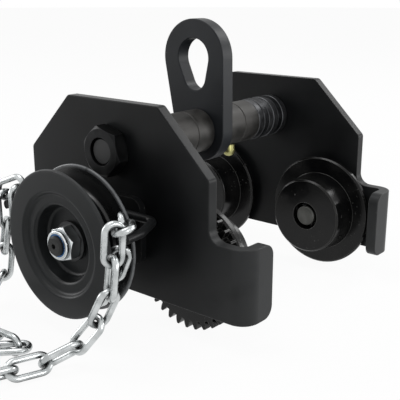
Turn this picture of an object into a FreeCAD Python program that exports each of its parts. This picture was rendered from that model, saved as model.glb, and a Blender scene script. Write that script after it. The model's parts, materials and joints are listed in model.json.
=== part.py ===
import FreeCAD, Part
import math
import os
from FreeCAD import Matrix, Placement, Vector

# Geared beam trolley, millimetres, standing upside down on its four wheel rims.
# +X is the direction of travel, +Y runs from the chain-wheel side to the plain side, +Z is up.
# The origin is on the floor under the middle of the trolley's own box, without the hand chain.

# Side plates
plate_width = 176.0
plate_crown_height = 34.5
plate_slope_width = 44.0
plate_slope_height = 43.0
plate_thickness = 8.0
plate_span = 202.0
plate_corner_radius = 4.0
plate_edge_break = 0.7

# Bumper tabs, bent inwards at both ends of each plate
tab_height = 52.0
tab_reach = 31.0
bumper_depth = 29.0
bend_inner_radius = 5.0
notch_radius = 9.0
bumper_corner_radius = 8.5

# Cross shaft with its nuts, distance sleeves and adjusting washers
shaft_diameter = 20.0
shaft_rise = 56.8
shaft_end_recess = 1.5
shaft_end_proud = 3.0
shaft_end_chamfer = 1.5
shaft_nut_flats = 32.0
shaft_nut_turn = 14.0
front_nut_height = 10.5
rear_nut_height = 16.0
sleeve_diameter = 34.0
sleeve_edge_break = 0.7
short_sleeve_length = 19.0
rear_sleeve_length = 27.5
washer_stack_count = 6
washer_diameters = (34.0, 35.0, 34.4, 35.2, 34.6, 35.0)
washer_edge_break = 0.5

# Lock screw in the rear sleeve
lock_screw_diameter = 6.0
lock_screw_head_diameter = 10.6
lock_screw_head_height = 9.5
lock_screw_offset = 28.0
lock_screw_angle = 10.0

# Load plate, swinging on the cross shaft
load_plate_thickness = 12.5
load_plate_eye_rise = 56.5
load_plate_eye_radius = 29.6
load_plate_foot_radius = 24.5
load_hole_radius = 15.0
load_hole_lower_radius = 10.5
load_hole_drop = 14.5
load_plate_lean = 6.0
load_plate_edge_break = 0.8
load_plate_side_play = 0.3

# Wheels
gear_module = 2.5
gear_teeth = 35
pinion_teeth = 14
pressure_angle = 20.0
mesh_angle = 18.0
tooth_backlash = 0.3
tooth_root_share = 1.25
gear_width = 5.5
axle_rise = 25.75
gear_gap = 4.0
plain_gap = 4.0
geared_flange_width = 6.3
plain_flange_width = 5.0
tread_width = 21.5
tread_end_diameter = 62.0
tread_root_diameter = 66.0
wheel_edge_break = 1.2
wheel_face_hole_diameter = 23.0
wheel_face_wall = 4.0
bearing_recess = 3.0
bearing_shoulder_width = 4.0

# Wheel bearings and their rings
bearing_bore = 17.0
bearing_outer_diameter = 35.0
bearing_width = 10.0
bearing_ball_share = 0.53
bearing_ball_count = 10
bearing_race_share = 0.322
ball_clearance = 0.08
ring_thickness = 1.4
ring_groove_depth = 0.9
ring_height = 2.7
ring_opening = 7.0

# Wheel axles
axle_spigot_diameter = 16.0
axle_spigot_depth = 5.0
axle_collar_diameter = 20.0
axle_tip_diameter = 16.5
axle_tip_recess = 0.4

# Drive shaft, its boss and bushes
drive_shaft_diameter = 16.0
drive_shaft_thread_diameter = 14.0
drive_shaft_flats = 12.5
drive_shaft_collar_diameter = 22.0
drive_shaft_collar_length = 13.5
drive_shaft_tail = 4.0
drive_shaft_proud = 2.7
drive_shaft_tip_chamfer = 1.2
shaft_centre_hole_diameter = 3.8
shaft_centre_hole_depth = 5.0
boss_diameter = 34.0
boss_spigot_diameter = 30.0
boss_length = 20.5
bush_diameter = 20.0
bush_length = 12.0
pinion_side_gap = 0.9
key_width = 5.0
key_height = 5.0

# Hand wheel
hand_wheel_diameter = 103.2
hand_wheel_width = 23.0
hand_wheel_recess = 13.5
disc_thickness = 2.2
disc_rim_inner_diameter = 73.0
disc_ring_outer_diameter = 69.0
disc_ring_inner_diameter = 54.0
disc_hub_diameter = 49.0
disc_ring_step = 3.0
disc_bend_radius = 2.6
disc_inner_bend_radius = 0.6
disc_lip_radius = 0.9
drum_diameter = 67.2
drum_flats = 65.3
drum_sides = 6
hub_washer_diameter = 28.0
hub_washer_thickness = 2.5
lock_nut_flats = 22.0
lock_nut_turn = -11.8
lock_nut_hex_height = 8.2
lock_nut_height = 11.3
lock_nut_collar_diameter = 20.4
insert_diameter = 16.2
insert_height = 3.6
insert_recess = 0.4

# Chain guides
guide_wire_diameter = 6.0
guide_rise = 16.0
guide_bend_radius = 9.0
guide_bend_share = 0.9
guide_bracket_thickness = 5.0
guide_bracket_width = 64.0
guide_bracket_top = 27.0
guide_bracket_bottom = 21.0
guide_elbow_inset = 4.1
guide_knee_clearance = 7.2
guide_knee_back = 20.4
guide_end_clearance = 9.2
guide_end_back = 4.7

# Hand chain
chain_wire = 4.4
chain_pitch = 22.0
chain_inner_width = 7.2
chain_slack = 0.4
chain_wheel_radius = 42.6
chain_floor_clearance = 0.7
chain_groove_links = 7
chain_right_links = 13
chain_return_links = 6
chain_lie_tolerance = 0.5
chain_line_points = 60
chain_fit_halvings = 40
chain_groove_angles = (-150, -20, 15)
coil_outer_radius = 97.0
coil_inner_radius = 54.0
coil_turns = 5
coil_steps_per_turn = 16
coil_layer_rise = 17.0
coil_start_angle = 20.0
coil_end_angle = 85.0
coil_centre = (-100.0, -306.0)

# Clearances
press_clearance = 0.01
running_clearance = 0.06
face_clearance = 0.3
cut_overrun = 1.0

# Places worked out from the sizes above
gear_pitch_radius = gear_module * gear_teeth / 2
pinion_pitch_radius = gear_module * pinion_teeth / 2
gear_tip_radius = gear_pitch_radius + gear_module
rim_radius = gear_tip_radius
centre_distance = gear_pitch_radius + pinion_pitch_radius + running_clearance
axle_x = centre_distance * math.cos(math.radians(mesh_angle))
plate_bottom = rim_radius - axle_rise
axle_z = rim_radius
drive_z = axle_z + centre_distance * math.sin(math.radians(mesh_angle))
shaft_z = drive_z + shaft_rise
plate_height = shaft_z - plate_bottom + plate_crown_height
pinion_width = gear_width - pinion_side_gap
bearing_ring_height = (bearing_outer_diameter - bearing_bore) / 2
bearing_ball_diameter = bearing_ball_share * bearing_ring_height
bearing_race_wall = bearing_race_share * bearing_ring_height
plate_outer = plate_span / 2
plate_inner = plate_outer - plate_thickness
boss_front = plate_outer + boss_length
hub_back = boss_front + face_clearance + drive_shaft_collar_length
hub_front = hub_back + 2 * disc_thickness
nut_seat = hub_front + hub_washer_thickness
nut_tip = nut_seat + lock_nut_height
drive_shaft_reach = nut_tip + drive_shaft_proud
front_rim = hub_front + hand_wheel_recess
wheel_middle = front_rim - hand_wheel_width / 2
rear_reach = plate_outer + rear_nut_height + shaft_end_proud
mid_y = (drive_shaft_reach - rear_reach) / 2
load_plate_half = load_plate_thickness / 2
wheel_ends = {"left": -1, "right": 1}
FRONT = -1
REAR = 1
ALONG_Y = Vector(0, 1, 0)


def inside(side, depth):
    """Y of a plane that lies a depth inwards from the inner face of the plate on that side."""
    return mid_y + side * (plate_inner - depth)


def outside(side, reach):
    """Y of a plane at a distance from the middle plane between the plates."""
    return mid_y + side * reach


def rod(radius, y_one, y_two, x, z):
    """A round bar along Y."""
    low = min(y_one, y_two)
    return Part.makeCylinder(radius, abs(y_two - y_one), Vector(x, low, z), ALONG_Y)


def tube(outer, inner, y_one, y_two, x, z):
    """A round sleeve along Y."""
    return rod(outer, y_one, y_two, x, z).cut(rod(inner, y_one, y_two, x, z))


def turned(profile, x, z):
    """A solid of revolution about a line along Y through x, z; the profile is (radius, y) points."""
    corners = [Vector(radius, y, 0) for radius, y in profile]
    outline = Part.makePolygon(corners + corners[:1])
    solid = Part.Face(outline).revolve(Vector(0, 0, 0), ALONG_Y, 360)
    solid = Part.makeSolid(solid) if solid.ShapeType == "Shell" else solid
    if solid.Volume < 0:
        solid.reverse()
    solid.translate(Vector(x, 0, z))
    return solid


def rounded_outline(corners, y):
    """A closed outline in the plane of a plate, with a tangent arc of its own radius at each corner."""
    count = len(corners)
    starts = []
    arcs = []
    for i in range(count):
        here = Vector(corners[i][0], y, corners[i][1])
        before = Vector(corners[i - 1][0], y, corners[i - 1][1]) - here
        after = Vector(corners[(i + 1) % count][0], y, corners[(i + 1) % count][1]) - here
        before.normalize()
        after.normalize()
        radius = corners[i][2]
        half = before.getAngle(after) / 2
        run = radius / math.tan(half)
        middle = before + after
        middle.normalize()
        depth = radius / math.sin(half) - radius
        first = here + before * run
        last = here + after * run
        starts.append((first, last))
        if radius > 0:
            arcs.append(Part.Arc(first, here + middle * depth, last).toShape())
    edges = list(arcs)
    for i in range(count):
        edges.append(Part.makeLine(starts[i][1], starts[(i + 1) % count][0]))
    return Part.Wire(Part.__sortEdges__(edges))


def circle_edges(shape, radius, axis_x, axis_z, at_y=None):
    """The round edges of a given radius about a line along Y, all of them or those at one place."""
    found = []
    for edge in shape.Edges:
        curve = edge.Curve
        if not isinstance(curve, Part.Circle) or abs(curve.Radius - radius) > 1e-4:
            continue
        if at_y is not None and abs(curve.Center.y - at_y) > 1e-4:
            continue
        if math.hypot(curve.Center.x - axis_x, curve.Center.z - axis_z) < 1e-4:
            found.append(edge)
    return found


def hexagon(flats, y_one, y_two, x, z, turn):
    """A hexagonal bar along Y, turned from corner up, with its corners turned off at both ends."""
    corner = flats / math.sqrt(3)
    low = min(y_one, y_two)
    height = abs(y_two - y_one)
    points = []
    for i in range(7):
        angle = math.radians(60 * i + 30 + turn)
        points.append(Vector(x + corner * math.cos(angle), low, z + corner * math.sin(angle)))
    bar = Part.Face(Part.makePolygon(points)).extrude(Vector(0, height, 0))
    flat = flats / 2
    drop = (corner - flat) * math.tan(math.radians(30))
    shape = [(0, low), (flat, low), (corner, low + drop)]
    shape += [(corner, low + height - drop), (flat, low + height), (0, low + height)]
    return bar.common(turned(shape, x, z))


def side_plate(side):
    """One plate with its bumper tabs; the axle seats are blind, the shaft hole goes through."""
    face_y = outside(side, plate_outer)
    bumper_x = plate_width / 2 + tab_reach
    bend_outer_radius = bend_inner_radius + plate_thickness
    bend_x = bumper_x - bend_outer_radius
    half = plate_width / 2
    top = plate_bottom + plate_height
    shoulder = top - plate_slope_height
    tab_top = plate_bottom + tab_height
    right = [
        (bend_x, plate_bottom, 0),
        (bend_x, tab_top, 0),
        (half, tab_top, notch_radius),
        (half, shoulder, plate_corner_radius),
        (half - plate_slope_width, top, plate_corner_radius),
    ]
    left = [(-x, z, radius) for x, z, radius in reversed(right)]
    outline = rounded_outline(right + left, face_y)
    plate = Part.Face(outline).extrude(Vector(0, -side * plate_thickness, 0))
    for end in wheel_ends.values():
        plate = plate.fuse(bumper(side, end, bend_x, bend_outer_radius))
    plate = plate.removeSplitter()
    lengthwise = [edge for edge in plate.Edges if on_plate_rim(edge, side, bend_x)]
    plate = plate.makeFillet(plate_edge_break, lengthwise)
    plate = plate.cut(rod(shaft_diameter / 2 + running_clearance, face_y, inside(side, 0), 0, shaft_z))
    seat_bottom = inside(side, -axle_spigot_depth)
    for end in wheel_ends.values():
        plate = plate.cut(rod(axle_spigot_diameter / 2, seat_bottom, inside(side, 0), end * axle_x, axle_z))
    if side == FRONT:
        plate = plate.cut(rod(boss_spigot_diameter / 2, face_y, inside(side, 0), 0, drive_z))
    return plate


def on_plate_rim(edge, side, bend_x):
    """True for the edges round the plate's outer face between its shoulders and its notches."""
    box = edge.BoundBox
    face_y = outside(side, plate_outer)
    flat = max(abs(box.YMin - face_y), abs(box.YMax - face_y)) < 1e-4
    above = box.ZMin > plate_bottom + tab_height + notch_radius - 1e-4
    return flat and above and abs(box.XMin) < bend_x


def bumper(side, end, bend_x, bend_outer_radius):
    """A tab's bend and the bumper flange behind it, with the flange's free corners rounded."""
    outer_y = outside(side, plate_outer)
    inner_y = outer_y - side * plate_thickness
    centre = Vector(end * bend_x, outer_y - side * bend_outer_radius, plate_bottom)
    slant = math.sqrt(0.5)
    outer_mid = centre + Vector(end * slant, side * slant, 0) * bend_outer_radius
    inner_mid = centre + Vector(end * slant, side * slant, 0) * bend_inner_radius
    outer_x = end * (bend_x + bend_outer_radius)
    inner_x = end * (bend_x + bend_inner_radius)
    end_y = outer_y - side * bumper_depth
    a = Vector(end * bend_x, outer_y, plate_bottom)
    b = Vector(outer_x, centre.y, plate_bottom)
    c = Vector(outer_x, end_y, plate_bottom)
    d = Vector(inner_x, end_y, plate_bottom)
    e = Vector(inner_x, centre.y, plate_bottom)
    f = Vector(end * bend_x, inner_y, plate_bottom)
    edges = [
        Part.Arc(a, outer_mid, b).toShape(),
        Part.makeLine(b, c),
        Part.makeLine(c, d),
        Part.makeLine(d, e),
        Part.Arc(e, inner_mid, f).toShape(),
        Part.makeLine(f, a),
    ]
    tab = Part.Face(Part.Wire(edges)).extrude(Vector(0, 0, tab_height))
    corners = []
    for edge in tab.Edges:
        box = edge.BoundBox
        if box.YLength < 1e-4 and box.ZLength < 1e-4 and abs(box.YMin - end_y) < 1e-4:
            corners.append(edge)
    return tab.makeFillet(bumper_corner_radius, corners)


def tooth_outline(teeth, x, z, y, phase):
    """A gear's outline: involute flanks as arcs through three points, straight below the base circle."""
    pitch_radius = gear_module * teeth / 2
    base_radius = pitch_radius * math.cos(math.radians(pressure_angle))
    tip_radius = pitch_radius + gear_module
    root_radius = pitch_radius - tooth_root_share * gear_module
    flank_start = max(base_radius, root_radius)
    half_tooth = (math.pi * gear_module / 2 - tooth_backlash) / pitch_radius / 2

    def spread(radius):
        """Involute function of the pressure angle at that radius."""
        angle = math.acos(min(1.0, base_radius / radius))
        return math.tan(angle) - angle

    def flank_angle(radius):
        """Half the angle that a tooth takes up at that radius."""
        return half_tooth + spread(pitch_radius) - spread(radius)

    def spot(radius, angle):
        return Vector(x + radius * math.cos(angle), y, z + radius * math.sin(angle))

    middle_radius = (flank_start + tip_radius) / 2
    pitch_angle = 2 * math.pi / teeth
    edges = []
    for i in range(teeth):
        centre = phase + i * pitch_angle
        inner = flank_angle(flank_start)
        middle = flank_angle(middle_radius)
        tip = flank_angle(tip_radius)
        rise = [spot(flank_start, centre - inner), spot(middle_radius, centre - middle)]
        rise.append(spot(tip_radius, centre - tip))
        fall = [spot(tip_radius, centre + tip), spot(middle_radius, centre + middle)]
        fall.append(spot(flank_start, centre + inner))
        root_out = spot(root_radius, centre + inner)
        next_in = spot(root_radius, centre + pitch_angle - inner)
        if root_radius < flank_start:
            edges.append(Part.makeLine(spot(root_radius, centre - inner), rise[0]))
        edges.append(Part.Arc(*rise).toShape())
        edges.append(Part.Arc(rise[2], spot(tip_radius, centre), fall[0]).toShape())
        edges.append(Part.Arc(*fall).toShape())
        if root_radius < flank_start:
            edges.append(Part.makeLine(fall[2], root_out))
        edges.append(Part.Arc(root_out, spot(root_radius, centre + pitch_angle / 2), next_in).toShape())
    return Part.Wire(edges)


pinion_phase = -math.radians(mesh_angle)


def gear_phase(end):
    """Angle of one gear tooth, so that a gap of the gear meets the pinion's tooth between the axes."""
    towards_gear = -math.radians(mesh_angle) if end > 0 else math.pi + math.radians(mesh_angle)
    towards_pinion = towards_gear + math.pi
    pinion_pitch = 2 * math.pi / pinion_teeth
    offset = (pinion_phase - towards_gear) % pinion_pitch
    gap = towards_pinion - offset * pinion_teeth / gear_teeth
    return gap + math.pi / gear_teeth


def wheel_body(side, start, x):
    """A wheel turned with its flange, tapered tread and bearing seat; start is the gap to the plate."""
    geared = side == FRONT
    toothed = gear_width if geared else 0.0
    flange_width = geared_flange_width if geared else plain_flange_width
    flange_start = start + toothed
    flange_end = flange_start + flange_width
    tread_end = flange_end + tread_width
    bore = bearing_outer_diameter / 2 + press_clearance
    seat_end = start + bearing_recess + bearing_width
    edge = wheel_edge_break
    hub_radius = gear_pitch_radius - 2 * gear_module
    outline = [(bore, start)]
    if geared:
        outline += [(hub_radius, start), (hub_radius, flange_start)]
    outline += [
        (rim_radius - edge, flange_start),
        (rim_radius, flange_start + edge),
        (rim_radius, flange_end - edge),
        (rim_radius - edge, flange_end),
        (tread_root_diameter / 2, flange_end),
        (tread_end_diameter / 2, tread_end - edge),
        (tread_end_diameter / 2 - edge, tread_end),
        (wheel_face_hole_diameter / 2, tread_end),
        (wheel_face_hole_diameter / 2, tread_end - wheel_face_wall),
        (bore - bearing_shoulder_width, tread_end - wheel_face_wall),
        (bore - bearing_shoulder_width, seat_end),
        (bore, seat_end),
    ]
    wheel = turned([(radius, inside(side, depth)) for radius, depth in outline], x, axle_z)
    groove = bore + ring_groove_depth
    ring_end = start + bearing_recess
    ring_start = ring_end - ring_thickness - press_clearance
    near = inside(side, ring_start)
    far = inside(side, ring_end)
    wheel = wheel.cut(tube(groove, bore - cut_overrun, near, far, x, axle_z))
    if geared:
        wheel = wheel.fuse(tooth_ring(side, start, x, hub_radius)).removeSplitter()
    return wheel


def tooth_ring(side, start, x, hub_radius):
    """The toothed rim of a geared wheel, open in the middle where it sits on the wheel's hub."""
    y_one = inside(side, start)
    y_two = inside(side, start + gear_width)
    outline = tooth_outline(gear_teeth, x, axle_z, y_one, gear_phase(1 if x > 0 else -1))
    ring = Part.Face(outline).extrude(Vector(0, y_two - y_one, 0))
    return ring.cut(rod(hub_radius - gear_module, y_one, y_two, x, axle_z))


def snap_ring(outer, inner, y_one, y_two, x, z):
    """A retaining ring, open at its lowest point."""
    ring = tube(outer, inner, y_one, y_two, x, z)
    low = min(y_one, y_two)
    corner = Vector(x - ring_opening / 2, low, z - outer)
    return ring.cut(Part.makeBox(ring_opening, abs(y_two - y_one), outer, corner))


def bearing(side, start, x):
    """A ball bearing's two races and its balls, started from the wheel's gap to the plate."""
    y_one = inside(side, start + bearing_recess)
    y_two = inside(side, start + bearing_recess + bearing_width)
    y_mid = (y_one + y_two) / 2
    ball_circle = (bearing_bore + bearing_outer_diameter) / 4
    ball_radius = bearing_ball_diameter / 2
    track = Part.makeTorus(ball_circle, ball_radius + ball_clearance, Vector(x, y_mid, axle_z), ALONG_Y)
    bore = bearing_bore / 2
    outer_radius = bearing_outer_diameter / 2
    inner = tube(bore + bearing_race_wall, bore, y_one, y_two, x, axle_z).cut(track)
    outer = tube(outer_radius, outer_radius - bearing_race_wall, y_one, y_two, x, axle_z).cut(track)
    balls = []
    for i in range(bearing_ball_count):
        angle = 2 * math.pi * i / bearing_ball_count
        centre = Vector(x + ball_circle * math.cos(angle), y_mid, axle_z + ball_circle * math.sin(angle))
        balls.append(Part.makeSphere(ball_radius, centre))
    return inner, outer, Part.makeCompound(balls)


def wheel_axle(side, start, x):
    """An axle pressed into its plate, with a collar behind the bearing and a ring groove in front of it."""
    geared = side == FRONT
    flange = gear_width + geared_flange_width if geared else plain_flange_width
    seat_start = start + bearing_recess
    seat_end = seat_start + bearing_width
    tip = start + flange + tread_width - axle_tip_recess
    journal = bearing_bore / 2 - press_clearance
    groove = journal - ring_groove_depth
    spigot = axle_spigot_diameter / 2 - press_clearance
    outline = [
        (0, -axle_spigot_depth),
        (spigot, -axle_spigot_depth),
        (spigot, 0),
        (axle_collar_diameter / 2, 0),
        (axle_collar_diameter / 2, seat_start),
        (journal, seat_start),
        (journal, seat_end),
        (groove, seat_end),
        (groove, seat_end + ring_thickness),
        (journal, seat_end + ring_thickness),
        (journal, seat_end + 2 * ring_thickness),
        (axle_tip_diameter / 2, seat_end + 2 * ring_thickness),
        (axle_tip_diameter / 2, tip - ring_groove_depth),
        (axle_tip_diameter / 2 - ring_groove_depth, tip),
        (0, tip),
    ]
    return turned([(radius, inside(side, depth)) for radius, depth in outline], x, axle_z)


def wheel_set(side, kind, start):
    """Both wheels of one plate, each with its axle, bearing and retaining rings."""
    pieces = {}
    for name, end in wheel_ends.items():
        x = end * axle_x
        inner, outer, balls = bearing(side, start, x)
        seat_start = start + bearing_recess
        seat_end = seat_start + bearing_width
        groove_out = bearing_outer_diameter / 2 + ring_groove_depth
        groove_in = bearing_bore / 2 - ring_groove_depth
        prefix = kind + "_wheel_" + name
        pieces[prefix] = wheel_body(side, start, x)
        pieces[prefix + "_axle"] = wheel_axle(side, start, x)
        pieces[prefix + "_inner_race"] = inner
        pieces[prefix + "_outer_race"] = outer
        pieces[prefix + "_balls"] = balls
        near = (inside(side, seat_start), inside(side, seat_start - ring_thickness))
        far = (inside(side, seat_end), inside(side, seat_end + ring_thickness))
        pieces[prefix + "_bore_ring"] = snap_ring(groove_out, groove_out - ring_height, *near, x, axle_z)
        pieces[prefix + "_axle_ring"] = snap_ring(groove_in + ring_height, groove_in, *far, x, axle_z)
    return pieces


def sleeve(near, far):
    """A distance sleeve on the cross shaft between two places along Y, with its rims broken."""
    radius = sleeve_diameter / 2
    bush = tube(radius, shaft_diameter / 2 + running_clearance, near, far, 0, shaft_z)
    return bush.makeChamfer(sleeve_edge_break, circle_edges(bush, radius, 0, shaft_z))


def cross_shaft_set():
    """The cross shaft, its two nuts, the distance sleeves either side of the load plate and the washers."""
    hole = shaft_diameter / 2 + running_clearance
    front_end = outside(FRONT, plate_outer + front_nut_height - shaft_end_recess)
    rear_end = outside(REAR, rear_reach)
    shaft = rod(shaft_diameter / 2, front_end, rear_end, 0, shaft_z)
    shaft = shaft.makeChamfer(shaft_end_chamfer, circle_edges(shaft, shaft_diameter / 2, 0, shaft_z))
    nuts = []
    for side, height in ((FRONT, front_nut_height), (REAR, rear_nut_height)):
        seat = outside(side, plate_outer)
        crown = outside(side, plate_outer + height)
        nut = hexagon(shaft_nut_flats, seat, crown, 0, shaft_z, shaft_nut_turn)
        nuts.append(nut.cut(rod(hole, seat, crown, 0, shaft_z)))
    face = load_plate_half + load_plate_side_play
    front_joint = face + short_sleeve_length
    rear_joint = face + rear_sleeve_length
    rear_last = rear_joint + short_sleeve_length
    thread_end = sleeve_diameter / 2 + cut_overrun
    thread = along_screw(lock_screw_diameter / 2 + press_clearance, shaft_diameter / 2, thread_end)
    thickness = (plate_inner - rear_last) / washer_stack_count
    washers = []
    for i in range(washer_stack_count):
        near = outside(REAR, rear_last + i * thickness)
        far = outside(REAR, rear_last + (i + 1) * thickness)
        radius = washer_diameters[i % len(washer_diameters)] / 2
        washer = tube(radius, hole, near, far, 0, shaft_z)
        washers.append(washer.makeChamfer(washer_edge_break, circle_edges(washer, radius, 0, shaft_z)))
    return {
        "cross_shaft": shaft,
        "cross_shaft_nuts": Part.makeCompound(nuts),
        "front_long_sleeve": sleeve(inside(FRONT, 0), outside(FRONT, front_joint)),
        "front_short_sleeve": sleeve(outside(FRONT, front_joint), outside(FRONT, face)),
        "rear_long_sleeve": sleeve(outside(REAR, face), outside(REAR, rear_joint)).cut(thread),
        "rear_short_sleeve": sleeve(outside(REAR, rear_joint), outside(REAR, rear_last)),
        "adjusting_washers": Part.makeCompound(washers),
    }


def along_screw(radius, start, end):
    """A round bar along the lock screw, between two distances from the cross shaft's axis."""
    angle = math.radians(lock_screw_angle)
    way = Vector(math.sin(angle), 0, -math.cos(angle))
    foot = Vector(0, outside(REAR, lock_screw_offset), shaft_z) + way * start
    return Part.makeCylinder(radius, end - start, foot, way)


def lock_screw():
    """A domed screw through the rear sleeve that bears on the cross shaft."""
    seat = sleeve_diameter / 2
    tip = shaft_diameter / 2 + running_clearance
    head = lock_screw_head_diameter / 2
    crown = seat + lock_screw_head_height
    shank = along_screw(lock_screw_diameter / 2, tip, crown - head)
    collar = along_screw(head, seat, crown - head)
    angle = math.radians(lock_screw_angle)
    way = Vector(math.sin(angle), 0, -math.cos(angle))
    dome_centre = Vector(0, outside(REAR, lock_screw_offset), shaft_z) + way * (crown - head)
    dome = Part.makeSphere(head, dome_centre)
    above_sleeve = rod(seat + running_clearance, outside(REAR, 0), inside(REAR, 0), 0, shaft_z)
    return shank.fuse(collar.fuse(dome).cut(above_sleeve)).removeSplitter()


def egg_outline(big, small, drop, y, axis_x, axis_z):
    """The outline round two circles, one below the other by a drop, joined by their outer tangents."""
    tilt = math.asin((big - small) / drop)
    side_x = math.cos(tilt)
    side_z = math.sin(tilt)
    big_right = Vector(axis_x + big * side_x, y, axis_z - big * side_z)
    big_left = Vector(axis_x - big * side_x, y, axis_z - big * side_z)
    small_right = Vector(axis_x + small * side_x, y, axis_z - drop - small * side_z)
    small_left = Vector(axis_x - small * side_x, y, axis_z - drop - small * side_z)
    edges = [
        Part.Arc(big_right, Vector(axis_x, y, axis_z + big), big_left).toShape(),
        Part.makeLine(big_left, small_left),
        Part.Arc(small_left, Vector(axis_x, y, axis_z - drop - small), small_right).toShape(),
        Part.makeLine(small_right, big_right),
    ]
    return Part.Wire(edges)


def load_plate():
    """The load plate with its teardrop eye, leaning to one side on the cross shaft."""
    eye_z = shaft_z + load_plate_eye_rise
    front = outside(FRONT, load_plate_half)
    across = Vector(0, load_plate_thickness, 0)
    body = egg_outline(load_plate_eye_radius, load_plate_foot_radius, load_plate_eye_rise, front, 0, eye_z)
    hole = egg_outline(load_hole_radius, load_hole_lower_radius, load_hole_drop, front, 0, eye_z)
    plate = Part.Face(body).extrude(across).cut(Part.Face(hole).extrude(across))
    rims = [edge for edge in plate.Edges if edge.BoundBox.YLength < 1e-4]
    plate = plate.makeFillet(load_plate_edge_break, rims)
    bore = shaft_diameter / 2 + running_clearance
    plate = plate.cut(rod(bore, front, outside(REAR, load_plate_half), 0, shaft_z))
    plate.rotate(Vector(0, 0, shaft_z), ALONG_Y, -load_plate_lean)
    return plate


def flatted_bar(diameter, flats, y_one, y_two):
    """A round bar along Y on the drive axis, with two flats facing up and down."""
    bar = rod(diameter / 2, y_one, y_two, 0, drive_z)
    low = min(y_one, y_two)
    corner = Vector(-diameter / 2, low, drive_z - flats / 2)
    return bar.common(Part.makeBox(diameter, abs(y_two - y_one), flats, corner))


def drive_set():
    """The drive shaft with its boss and bushes, the pinion, its key and its retaining ring."""
    journal = drive_shaft_diameter / 2
    thread = drive_shaft_thread_diameter / 2
    tip_y = outside(FRONT, drive_shaft_reach)
    hub_y = outside(FRONT, hub_front)
    pinion_start = inside(FRONT, gear_gap)
    pinion_end = inside(FRONT, gear_gap + pinion_width)
    ring_end = inside(FRONT, gear_gap + pinion_width + ring_thickness)
    tail_end = inside(FRONT, gear_gap + pinion_width + drive_shaft_tail)
    seat_y = outside(FRONT, hub_back)
    stop_y = outside(FRONT, boss_front + face_clearance)
    shaft = rod(journal, stop_y, tail_end, 0, drive_z)
    shaft = shaft.fuse(rod(drive_shaft_collar_diameter / 2, seat_y, stop_y, 0, drive_z))
    shaft = shaft.fuse(flatted_bar(drive_shaft_diameter, drive_shaft_flats, hub_y, seat_y))
    threaded = rod(thread, tip_y, hub_y, 0, drive_z)
    tip_rim = circle_edges(threaded, thread, 0, drive_z, tip_y)
    threaded = threaded.makeChamfer(drive_shaft_tip_chamfer, tip_rim)
    shaft = shaft.fuse(threaded).removeSplitter()
    groove = tube(journal + cut_overrun, journal - ring_groove_depth, pinion_end, ring_end, 0, drive_z)
    key_corner = Vector(-key_width / 2, pinion_start, drive_z + journal - key_height / 2)
    keyway = Part.makeBox(key_width, pinion_width, key_height, key_corner)
    centre_hole = rod(shaft_centre_hole_diameter / 2, tip_y, tip_y + shaft_centre_hole_depth, 0, drive_z)
    shaft = shaft.cut(groove).cut(keyway).cut(centre_hole)
    outline = tooth_outline(pinion_teeth, 0, drive_z, pinion_start, pinion_phase)
    pinion = Part.Face(outline).extrude(Vector(0, pinion_width, 0))
    pinion = pinion.cut(rod(journal + press_clearance, pinion_start, pinion_end, 0, drive_z)).cut(keyway)
    ring_inner = journal - ring_groove_depth
    ring = snap_ring(ring_inner + ring_height, ring_inner, pinion_end, ring_end, 0, drive_z)
    plate_face = outside(FRONT, plate_outer)
    boss_tip = outside(FRONT, boss_front)
    inner_end = inside(FRONT, 0)
    boss = rod(boss_diameter / 2, boss_tip, plate_face, 0, drive_z)
    boss = boss.fuse(rod(boss_spigot_diameter / 2 - press_clearance, plate_face, inner_end, 0, drive_z))
    bush = bush_diameter / 2
    boss = boss.cut(rod(bush, boss_tip, inner_end, 0, drive_z)).removeSplitter()
    bush_bore = journal + running_clearance
    bushes = [
        tube(bush - press_clearance, bush_bore, boss_tip, boss_tip + bush_length, 0, drive_z),
        tube(bush - press_clearance, bush_bore, inner_end - bush_length, inner_end, 0, drive_z),
    ]
    spacer_start = inner_end + face_clearance
    spacer = tube(drive_shaft_collar_diameter / 2, bush_bore, spacer_start, pinion_start, 0, drive_z)
    return {
        "drive_shaft": shaft,
        "pinion": pinion,
        "pinion_key": keyway,
        "pinion_ring": ring,
        "pinion_spacer": spacer,
        "shaft_boss": boss,
        "shaft_bushes": Part.makeCompound(bushes),
    }


def wall_shift(low, high):
    """How far the back of a sloping wall lies out from its front, for a wall as thick as the flat parts."""
    slope = math.atan2(high[1] - low[1], high[0] - low[0])
    return disc_thickness * math.tan(slope / 2)


def pressed_disc(rim, ring, hub):
    """A pressed disc; rim, ring and hub are its outer face's distances from the plates' middle plane."""
    radius = hand_wheel_diameter / 2
    face = [
        (disc_hub_diameter / 2, hub),
        (disc_ring_inner_diameter / 2, ring),
        (disc_ring_outer_diameter / 2, ring),
        (disc_rim_inner_diameter / 2, rim),
    ]
    back = []
    for low, high in ((face[2], face[3]), (face[0], face[1])):
        shift = wall_shift(low, high)
        back += [(r + shift, reach - disc_thickness) for r, reach in (high, low)]
    edge = [(radius, rim), (radius, rim - disc_thickness)]
    outline = [(0, hub)] + face + edge + back + [(0, hub - disc_thickness)]
    disc = turned([(r, outside(FRONT, reach)) for r, reach in outline], 0, drive_z)
    for corners, bend in ((face, disc_bend_radius), (back, disc_inner_bend_radius)):
        bends = []
        for r, reach in corners:
            bends += circle_edges(disc, r, 0, drive_z, outside(FRONT, reach))
        disc = disc.makeFillet(bend, bends)
    return disc.makeFillet(disc_lip_radius, circle_edges(disc, radius, 0, drive_z))


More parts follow.
